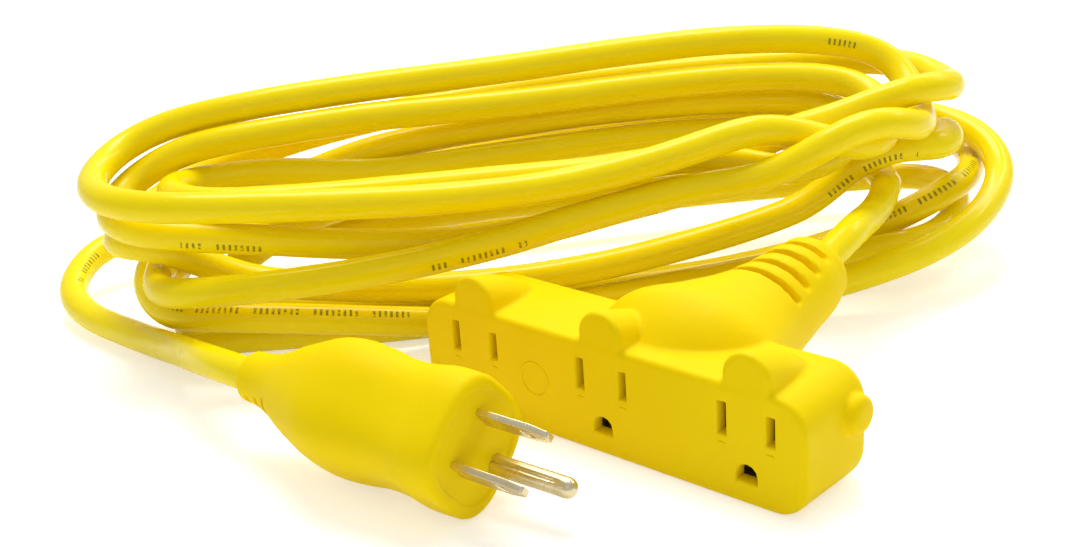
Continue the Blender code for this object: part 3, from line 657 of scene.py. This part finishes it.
def core_material(name, colour):
    deep = tuple(0.6 * c for c in colour[:3]) + (1.0,)
    return pvc(name, colour, deep, 0.42, 0.35, 1800.0, 0.00001).material


def metal_material(name, bright, dull, rough, stretch):
    """Drawn or stamped metal: fine lines one way, dull patches, tiny pits."""
    n = Nodes(name)
    lines = n.noise(1.0, 4.0, n.place(stretch))
    patch = n.ramp(n.noise(180.0, 5.0), 0.35, 0.7)
    n.give(Base_Color=n.mix(n.math("MULTIPLY", patch, 0.6), bright, dull), Metallic=1.0)
    gloss = n.math("ADD", n.ramp(patch, 0.0, 1.0, rough, rough + 0.14), n.ramp(lines, 0.3, 0.7, 0, 0.08))
    n.give(Roughness=gloss)
    pits = n.bump(n.ramp(n.noise(1300.0, 2.0), 0.66, 0.74), 0.00002)
    n.give(Normal=n.bump(lines, 0.000015, pits))
    return n.material


def carrier_material():
    """Heat-proof moulding compound with flecks of filler."""
    n = Nodes("carrier_compound")
    fleck = n.ramp(n.noise(1700.0, 2.0), 0.55, 0.7)
    n.give(Base_Color=n.mix(fleck, (0.07, 0.035, 0.012, 1.0), (0.16, 0.09, 0.035, 1.0)))
    n.give(Roughness=n.ramp(n.noise(240.0, 4.0), 0.3, 0.7, 0.42, 0.62))
    n.give(Normal=n.bump(n.noise(1100.0, 3.0), 0.00003))
    return n.material


def floor_material():
    n = Nodes("studio_floor")
    tone = n.noise(3.0, 2.0, n.add("TexCoord").outputs["Object"])
    n.give(Base_Color=n.mix(tone, (0.86, 0.86, 0.86, 1.0), (0.90, 0.90, 0.90, 1.0)))
    n.give(Roughness=0.9, Specular_IOR_Level=0.1)
    seen = n.add("LightPath").outputs["Is Camera Ray"]
    n.give(Emission_Color=(1.0, 1.0, 1.0, 1.0), Emission_Strength=n.ramp(seen, 0.0, 1.0, *FLOOR_GLOW))
    return n.material


# ---- Meshes -----------------------------------------------------------------------------------
def add_mesh(name, points, faces, material, smooth=True):
    mesh = bpy.data.meshes.new(name)
    mesh.from_pydata((np.asarray(points) * MM).tolist(), [], [tuple(map(int, f)) for f in faces])
    mesh.validate()
    obj = bpy.data.objects.new(name, mesh)
    bpy.context.scene.collection.objects.link(obj)
    if material:
        mesh.materials.append(material)
    mesh.shade_smooth() if smooth else mesh.shade_flat()
    return obj


def keep_rest(obj):
    """Stores where each point is at rest, for the materials."""
    mesh = obj.data
    flat = np.zeros(len(mesh.vertices) * 3, np.float32)
    mesh.vertices.foreach_get("co", flat)
    rest = mesh.attributes.new("rest", "FLOAT_VECTOR", "POINT")
    rest.data.foreach_set("vector", flat)


def modifier(obj, kind, **settings):
    made = obj.modifiers.new(kind.lower(), kind)
    for key, value in settings.items():
        setattr(made, key, value)
    return made


def settled(obj):
    """The object with its modifiers applied."""
    graph = bpy.context.evaluated_depsgraph_get()
    mesh = bpy.data.meshes.new_from_object(obj.evaluated_get(graph), depsgraph=graph)
    obj.modifiers.clear()
    old = obj.data
    obj.data = mesh
    bpy.data.meshes.remove(old)
    return obj


def combine(obj, shapes, operation="DIFFERENCE"):
    """Cuts closed shapes from obj, or joins them on, and settles it."""
    tools = []
    for shape in shapes:
        tool = add_mesh("tool", *shape, None)
        tools.append(tool)
        modifier(obj, "BOOLEAN", operation=operation, solver="EXACT", object=tool)
    settled(obj)
    for tool in tools:
        mesh = tool.data
        bpy.data.objects.remove(tool)
        bpy.data.meshes.remove(mesh)
    return obj


def finished(obj, body, replaced=(), sharp=38.0):
    """Sharp edges marked, rest places kept, and the piece set on its body."""
    obj.data.shade_smooth()
    obj.data.set_sharp_from_angle(angle=math.radians(sharp))
    keep_rest(obj)
    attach(obj, body)
    if replaced:
        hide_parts(*replaced)
    return obj


# ---- Cord -------------------------------------------------------------------------------------
class CordAxis:
    """The cord's centre line at any distance from the plug's roll point, with its directions."""

    def __init__(self):
        plug, neck = plug_frame(), neck_frame()
        line = centre_line()
        line = spline(list(line), -plug.axes[2], -neck.axes[2])
        self.total = lengths(line)[-1]
        inside = np.linspace(PLUG_ROLL + PLUG_INSIDE, PLUG_ROLL, 12)[:-1]
        before = plug.place([(0, BODY_DROP, z) for z in inside])
        mouth = NECK_LENGTH + BLOCK_LIFT
        inside = np.linspace(mouth, mouth - NECK_INSIDE, 14)[1:]
        after = neck.place([(0, 0, z) for z in inside])
        self.line = at_lengths(np.vstack([before, line, after]), self.steps())
        self.s = lengths(self.line) - PLUG_INSIDE
        ways = np.gradient(self.line, axis=0)
        self.ways = ways / np.linalg.norm(ways, axis=1)[:, None]
        self.sides = self.carried(plug.axes[0])

    def steps(self):
        return np.linspace(0.0, self.total + PLUG_INSIDE + NECK_INSIDE, 4700)

    def carried(self, side):
        out = []
        for way in self.ways:
            side = unit(side - way * np.dot(side, way))
            out.append(side)
        return np.array(out)

    def at(self, s):
        """Centres, ways, sides and ups at these distances."""
        pick = [np.stack([np.interp(s, self.s, a[:, k]) for k in range(3)], axis=1)
                for a in (self.line, self.ways, self.sides)]
        centre, way, side = pick
        way /= np.linalg.norm(way, axis=1)[:, None]
        side -= way * np.sum(side * way, axis=1)[:, None]
        side /= np.linalg.norm(side, axis=1)[:, None]
        return centre, way, side, np.cross(way, side)


def print_rows(s, side, up):
    """The printed line's angle round the cord, and whether the cord is printed there."""
    angle, shown = np.zeros(len(s)), np.zeros(len(s))
    for start, end, aim in PRINTS:
        here = (s > start - RING_STEP) & (s < end + RING_STEP)
        turn = np.arctan2(up @ np.array(aim), side @ np.array(aim))
        angle = np.where(here, turn, angle)
        shown = np.where((s > start) & (s < end), 1.0, shown)
    return np.unwrap(angle), shown


def cord_piece(axis, name, start, end, material):
    """A closed run of jacket, slightly uneven, with a map for its printing."""
    count = max(2, int(round((end - start) / RING_STEP))) + 1
    s = np.linspace(start, end, count)
    centre, way, side, up = axis.at(s)
    angle = 2 * math.pi * np.arange(JACKET_SIDES)[None] / JACKET_SIDES + 0 * s[:, None]
    radial = np.cos(angle)[..., None] * side[:, None] + np.sin(angle)[..., None] * up[:, None]
    lay = np.cos(3 * (angle - 2 * math.pi * s[:, None] / CORE_LAY))
    swell = np.sin(s / 23.0) * 0.5 + np.sin(s / 9.7 + 1.3) * 0.5
    radius = CORD_R - 0.05 + LAY_DEPTH * lay + 0.02 * swell[:, None]
    points = (centre[:, None] + radius[..., None] * radial).reshape(-1, 3)
    n = JACKET_SIDES
    k, i = np.meshgrid(np.arange(count - 1), np.arange(n), indexing="ij")
    k, i = k.ravel(), i.ravel()
    j = (i + 1) % n
    quads = np.stack([k * n + i, k * n + j, (k + 1) * n + j, (k + 1) * n + i], axis=1)
    faces = [tuple(q) for q in quads.tolist()]
    faces += [tuple(range(n))[::-1], tuple(range((count - 1) * n, count * n))]
    obj = add_mesh(name, points, faces, material)
    wide = 2 * math.pi * CORD_R
    along = np.stack([s[k], s[k], s[k + 1], s[k + 1]], axis=1)
    across = np.stack([i, i + 1, i + 1, i], axis=1) / n * wide
    coords = np.stack([along, across], axis=2).reshape(-1, 2)
    coords = np.concatenate([coords, np.zeros((2 * n, 2))]) * MM
    layer = obj.data.uv_layers.new(name="cord")
    layer.data.foreach_set("uv", coords.astype(np.float32).ravel())
    normals = radial.reshape(-1, 3)[quads.ravel()]
    ends = np.concatenate([np.repeat([-way[0]], n, axis=0), np.repeat([way[-1]], n, axis=0)])
    normals = np.concatenate([normals, ends])
    obj.data.normals_split_custom_set(normals.tolist())
    line, shown = print_rows(s, side, up)
    for key, values in (("print_line", line * CORD_R * MM), ("printed", shown)):
        stored = obj.data.attributes.new(key, "FLOAT", "POINT")
        stored.data.foreach_set("value", np.repeat(values, n).astype(np.float32))
    keep_rest(obj)
    return obj


def build_cord(material):
    axis = CordAxis()
    total = axis.total

    def point(s):
        return tuple(axis.at(np.array([s]))[0][0] * MM)

    coil = cord_piece(axis, "cord_coil", PLUG_SIDE, total - BLOCK_SIDE, material)
    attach(coil, "coil")
    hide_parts("coil_jacket")
    for runs, zero in ((FLEX_RUNS, 0.0), (BLOCK_RUNS, total)):
        for name, (start, end), bend, bodies, replaced in runs:
            piece = cord_piece(axis, name, zero + start, zero + end, material)
            point(zero + bend[0])
            point(zero + bend[1])
            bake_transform(piece)
            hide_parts(replaced)


# ---- Plug -------------------------------------------------------------------------------------
def eased(table, z):
    """Smooth values of a table's columns at z, through its rows."""
    table = np.array(table, float)
    x = table[:, 0]
    out = []
    for column in table[:, 1:].T:
        slope = np.gradient(column, x)
        i = np.clip(np.searchsorted(x, z) - 1, 0, len(x) - 2)
        h = x[i + 1] - x[i]
        t = np.clip((z - x[i]) / h, 0, 1)
        a = 2 * t**3 - 3 * t**2 + 1
        b = t**3 - 2 * t**2 + t
        c = 3 * t**2 - 2 * t**3
        d = t**3 - t**2
        out.append(a * column[i] + b * h * slope[i] + c * column[i + 1] + d * h * slope[i + 1])
    return out


def groove_share(z, centres, half, soft):
    """0 on the plain body, 1 at the floor of a groove, with soft shoulders."""
    nearest = np.min(np.abs(np.asarray(z)[:, None] - np.array(centres)[None]), axis=1)
    t = np.clip((half + soft - nearest) / soft, 0, 1)
    return t * t * (3 - 2 * t)


def build_plug_body(material):
    frame = plug_frame()
    fine = np.arange(BODY[0][0], -54.0, 0.25)
    z = np.concatenate([fine, np.arange(-54.0, -2.0, 0.8)])
    half, power = eased(BODY[:-1], z)
    share = groove_share(z, RELIEF_SLOTS, *RELIEF_EDGE)
    rings = []
    around = 2 * math.pi * (np.arange(PLUG_SIDES) + 0.5) / PLUG_SIDES
    c, s = np.cos(around), np.sin(around)

    def ring(z, half, power, share=0.0):
        r = half / (np.abs(c) ** power + np.abs(s) ** power) ** (1 / power)
        x, y = r * c, r * s
        limit = RELIEF_HALF + (1 - share) * RELIEF_OPEN
        return frame.place(np.stack([np.clip(x, -limit, limit), y + BODY_DROP, 0 * x + z], axis=1))

    low, low_power = BODY[0][1], BODY[0][2]
    for out, inward in CORD_END:
        rings.append(ring(BODY[0][0] - out, low - inward, low_power))
    rings += [ring(*values) for values in zip(z, half, power, share)]
    top = BODY[-2][1]
    for k in range(1, 8):
        t = math.pi / 2 * k / 7
        inward = FACE_EDGE * (1 - math.cos(t))
        rings.append(ring(FACE_EDGE * (math.sin(t) - 1), top - inward, FACE_POWER))
    for depth, inward in FACE_DISH:
        rings.append(ring(depth, top - inward, FACE_POWER))
    shell = add_mesh("plug_body", *body(rings), material)
    return finished(shell, "plug", ("plug_overmould",), 50.0)


def build_blade(name, x, node, material):
    """A stamped blade: chamfered tip, rounded edges and a cross hole."""
    frame = plug_frame()
    half, tip = BLADE_WIDTH / 2, BLADE_LENGTH
    edge = [(-half, BLADE_ROOT), (half, BLADE_ROOT), (half, tip - TIP_TAPER[0])]
    for k in range(7):
        t = math.pi / 2 * k / 6
        inward = TIP_TAPER[1] + TIP_ROUND * (1 - math.cos(t))
        edge.append((half - inward, tip - TIP_ROUND * (1 - math.sin(t))))
    edge += [(-y, z) for y, z in reversed(edge[2:])]
    sides = (x - BLADE_THICK / 2, x + BLADE_THICK / 2)
    blade = add_mesh(name, *body([frame.place([(s, y, z) for y, z in edge]) for s in sides]), material)
    rings = []
    for s, flare in HOLE_FLARE:
        hole = circle(BLADE_HOLE_R + flare, 32, (0.0, BLADE_HOLE_AT))
        rings.append(frame.place([(x + s, y, z) for y, z in hole]))
    combine(blade, [body(rings)])
    modifier(blade, "BEVEL", width=BLADE_EDGE * MM, segments=3, limit_method="ANGLE",
             angle_limit=math.radians(50))
    return finished(settled(blade), "plug", (node,), 30.0)


def build_pin(material):
    """A folded round pin with a seam down one side and a domed tip."""
    frame = plug_frame()
    profile = [(BLADE_ROOT, PIN_R)]
    profile += [(z, PIN_R) for z in np.arange(BLADE_ROOT + 1, PIN_LENGTH - PIN_R, 1.0)]
    for k in range(9):
        t = math.pi / 2 * k / 8.4
        profile.append((PIN_LENGTH - PIN_R + PIN_R * math.sin(t), PIN_R * math.cos(t)))
    around = 2 * math.pi * np.arange(48) / 48
    from_seam = (around + math.pi / 2) % (2 * math.pi) - math.pi
    seam = np.exp(-((from_seam / SEAM_SPREAD) ** 2))
    rings = []
    for z, r in profile:
        deep = SEAM_DEPTH * min(1.0, max(0.0, (PIN_LENGTH - SEAM_END - z) / 2.0)) * r / PIN_R
        radius = r - deep * seam
        rings.append(frame.place(np.stack(
            [radius * np.cos(around), PIN_DROP - radius * np.sin(around), 0 * around + z], axis=1)))
    pin = add_mesh("ground_prong", *body(rings), material)
    return finished(pin, "plug", ("ground_pin",), 60.0)


# ---- Outlet block -----------------------------------------------------------------------------
def block_body(frame):
    rings = []
    steps = []
    for t in np.linspace(0, math.pi / 2, 6):
        steps.append((FRONT_EDGE * (1 - math.cos(t)), FRONT_EDGE * (1 - math.sin(t))))
    steps.append((9.0, 0.0))
    for t in np.linspace(0, math.pi / 2, 9):
        steps.append((BACK_START + BACK_EDGE[0] * math.sin(t), BACK_EDGE[1] * (1 - math.cos(t))))
    for depth, inset in steps:
        low = (BLOCK_LEFT + inset, BLOCK_FLOOR + min(inset, 2.4))
        high = (BLOCK_RIGHT - inset, BLOCK_TOP - inset)
        outline = rounded_box(low, high, BLOCK_CORNER - inset * 0.5, 8)
        rings.append(frame.place([(x, y, depth) for x, y in outline]))
    return body(rings)


def hump_body(frame, middle):
    rings = []
    for depth, drop, size in HUMP:
        r = HUMP_R * size
        top = HUMP_TOP - drop
        arch = [(-r, BLOCK_TOP - 6.0), (r, BLOCK_TOP - 6.0)]
        for i in range(17):
            t = math.pi * i / 16
            arch.append((r * math.cos(t), top - r + r * math.sin(t)))
        rings.append(frame.place([(middle + x, y, depth) for x, y in arch]))
    return body(rings)


def neck_body(neck):
    z = np.append(np.arange(NECK[0][0], NECK_DOME_AT, 1.5), NECK_DOME_AT)
    sections = list(zip(z, *eased(NECK, z)))
    cord, rest, length = NECK_DOME
    for k in range(1, 8):
        t = math.pi / 2 * k / 7
        r = cord + rest * math.cos(t)
        sections.append((NECK_DOME_AT + length * math.sin(t), r, r, 0.0, 0.4))
    rings = []
    for z, w, h, side, lift in sections:
        around = [2 * math.pi * (i + 0.5) / 48 for i in range(48)]
        rings.append(neck.place([
            (side + w * math.cos(t), h * math.sin(t) - lift, z) for t in around]))
    return body(rings)


def boss_body(frame):
    rings = []
    for out, share in BOSS:
        round_ = circle(BOSS_R * share, 32, BOSS_AT)
        rings.append(frame.place([(BLOCK_RIGHT + out, y, depth) for y, depth in round_]))
    return body(rings)


def flash_bodies(frame):
    """Crumbs of moulding flash along the lower front edge."""
    shapes = []
    for u, size in FLASH:
        rings = []
        for k in range(1, 8):
            t = math.pi * k / 8
            r = 0.55 * math.sin(t)
            ring = circle(r, 8)
            rings.append(frame.place([
                (u - size * math.cos(t), BLOCK_FLOOR + 0.5 + y, 1.0 + z) for y, z in ring]))
        shapes.append(body(rings))
    return shapes


def opening(frame, outline, middle):
    """A cutter with a flared mouth, from an outline round the middle."""
    outline = np.array(outline)
    centre = np.array(middle)
    rings = []
    for depth, grow in MOUTH:
        away = outline - centre
        out = centre + away + grow * np.sign(away)
        rings.append(frame.place(np.column_stack([out, np.full(len(out), depth)])))
    return body(rings)


def openings(frame):
    shapes = []
    for k in (-1, 0, 1):
        u = k * OUTLET_PITCH
        for (x0, y0), (x1, y1) in slot_boxes(u):
            outline = rounded_box((x0, y0), (x1, y1), SLOT_CORNER, 3)
            shapes.append(opening(frame, outline, ((x0 + x1) / 2, (y0 + y1) / 2)))
        shapes.append(opening(frame, ground_slot(u), (u, -PIN_DROP - 0.2)))
    return shapes


def raised_ring(frame):
    """A plain ring between two outlets, half sunk in the face."""
    u, v = RING_AT
    wide, tall = RING_TUBE
    points, faces = [], []
    turns, sides = 64, 10
    for i in range(turns):
        a = 2 * math.pi * i / turns
        for j in range(sides):
            b = 2 * math.pi * j / sides
            r = RING_R + wide * math.cos(b)
            points.append((u + r * math.cos(a), v + r * math.sin(a), 0.10 - tall * math.sin(b)))
            i2, j2 = (i + 1) % turns, (j + 1) % sides
            faces.append((i * sides + j, i2 * sides + j, i2 * sides + j2, i * sides + j2))
    points = frame.place(points)
    return points, outward(points, faces)


def raised_bar(frame, x, y):
    """A short bar below a slot."""
    rings = []
    for depth, inset in BAR_LAYERS:
        long, tall = BAR[0] - inset, BAR[1] - inset
        outline = rounded_box((x - long, y - tall), (x + long, y + tall), 0.15, 3)
        rings.append(frame.place([(a, b, depth) for a, b in outline]))
    return body(rings)


def face_marks(frame):
    shapes = [raised_ring(frame)]
    for k in (-1, 0, 1):
        for x, y in ((-BLADE_HALF_SPACING, -6.0), (BLADE_HALF_SPACING, -5.6)):
            shapes.append(raised_bar(frame, k * OUTLET_PITCH + x, y))
    return shapes


def build_housing(material):
    frame, neck = block_frame(), neck_frame()
    housing = add_mesh("outlet_body", *block_body(frame), material)
    humps = [hump_body(frame, k * OUTLET_PITCH) for k in (-1, 0, 1)]
    extras = [boss_body(frame), neck_body(neck)] + flash_bodies(frame)
    combine(housing, humps + extras, "UNION")
    grooves = []
    floor, outside, half = GROOVE
    for z in NECK_SLOTS:
        for near, far in ((-outside, -floor), (floor, outside)):
            grooves.append(box(neck, (-12.0, near, z - half), (12.0, far, z + half)))
    combine(housing, grooves)
    modifier(housing, "REMESH", mode="VOXEL", voxel_size=HOUSING_VOXEL * MM)
    modifier(housing, "SMOOTH", factor=0.5, iterations=6)
    settled(housing)
    combine(housing, face_marks(frame), "UNION")
    hollow = [box(frame, *HOUSING_HOLLOW), body(pocket_rings(frame, neck)),
              extrusion(neck, circle(CORD_R + BORE_PLAY, 32), 8.0, NECK_LENGTH + 4.0)]
    combine(housing, hollow + openings(frame))
    return finished(housing, "outlet_block", ("outlet_housing",), 40.0)


# ---- Carried-over CAD parts ---------------------------------------------------------------------
def dress_inner_parts(looks):
    """Every CAD part that stays gets the material of its kind."""
    for name, node in frame["nodes"].items():
        if node.hide_render:
            continue
        kind = [key for key in looks if key in name]
        material = looks[kind[0]]
        node.data.materials.clear()
        node.data.materials.append(material)
        if "rest" not in node.data.attributes:
            keep_rest(node)


# ---- Studio -----------------------------------------------------------------------------------
def build_floor():
    side = 4000.0
    points = [(-side, -side, 0), (side, -side, 0), (side, side, 0), (-side, side, 0)]
    floor = add_mesh("studio_floor", np.array(points) + (0, 0, -FLOOR_GAP), [(0, 1, 2, 3)],
                     floor_material(), smooth=False)


def build_world():
    world = bpy.data.worlds.new("studio")
    world.use_nodes = True
    bpy.context.scene.world = world
    tree = world.node_tree
    background = tree.nodes["Background"]
    seen = tree.nodes.new("ShaderNodeLightPath").outputs["Is Camera Ray"]
    strength = tree.nodes.new("ShaderNodeMapRange")
    strength.inputs["To Min"].default_value = WORLD_LIGHT
    strength.inputs["To Max"].default_value = 1.0
    tree.links.new(seen, strength.inputs["Value"])
    tree.links.new(strength.outputs[0], background.inputs["Strength"])
    background.inputs["Color"].default_value = (1.0, 1.0, 1.0, 1.0)


def add_light(name, place, aim, size, power):
    light = bpy.data.lights.new(name, "AREA")
    light.shape = "RECTANGLE"
    light.size, light.size_y = size
    light.energy = power
    obj = bpy.data.objects.new(name, light)
    place, aim = np.array(place, float), np.array(aim, float)
    z = unit(place - aim)
    x = unit(np.cross((0.0, 0.0, 1.0), z))
    obj.matrix_world = matrix_of(x, np.cross(z, x), z, place)
    bpy.context.scene.collection.objects.link(obj)


def matrix_of(x, y, z, place):
    rows = [(x[k], y[k], z[k], place[k]) for k in range(3)]
    return Matrix(rows + [(0.0, 0.0, 0.0, 1.0)])


def build_camera():
    right = unit(CAMERA_RIGHT)
    up = np.array(CAMERA_UP, float)
    up = unit(up - right * np.dot(up, right))
    data = bpy.data.cameras.new("camera")
    data.sensor_width = 36.0
    data.lens = CAMERA_LENS
    data.clip_start, data.clip_end = 0.01, 50.0
    camera = bpy.data.objects.new("camera", data)
    camera.matrix_world = matrix_of(right, up, np.cross(right, up), CAMERA_AT)
    bpy.context.scene.collection.objects.link(camera)
    bpy.context.scene.camera = camera


def build_studio():
    bpy.context.scene.view_settings.view_transform = "Standard"
    build_world()
    build_floor()
    for light in LIGHTS:
        add_light(*light)
    build_camera()


# ---- The object ---------------------------------------------------------------------------------
def build_object():
    jacket, moulded = jacket_material(), moulded_material()
    prong = metal_material("prong_brass", PALE_BRASS, DULL_BRASS, 0.20, (900.0, 900.0, 60.0))
    contact = metal_material("contact_brass", BRASS, DULL_BRASS, 0.26, (60.0, 900.0, 900.0))
    copper = metal_material("bare_copper", COPPER, DULL_COPPER, 0.28, (1500.0, 90.0, 1500.0))
    looks = {
        "core_black": core_material("core_black_pvc", (0.02, 0.02, 0.022, 1.0)),
        "core_white": core_material("core_white_pvc", (0.78, 0.78, 0.74, 1.0)),
        "core_green": core_material("core_green_pvc", (0.015, 0.22, 0.05, 1.0)),
        "copper": copper,
        "contact_tray": carrier_material(),
        "contact_cover": carrier_material(),
        "plug_bridge": carrier_material(),
        "bus_": contact,
        "contact_": contact,
    }
    build_cord(jacket)
    build_plug_body(moulded)
    build_blade("prong_hot", BLADE_HALF_SPACING, "blade_hot", prong)
    build_blade("prong_neutral", -BLADE_HALF_SPACING, "blade_neutral", prong)
    build_pin(prong)
    build_housing(moulded)
    dress_inner_parts(looks)


build_object()
build_studio()
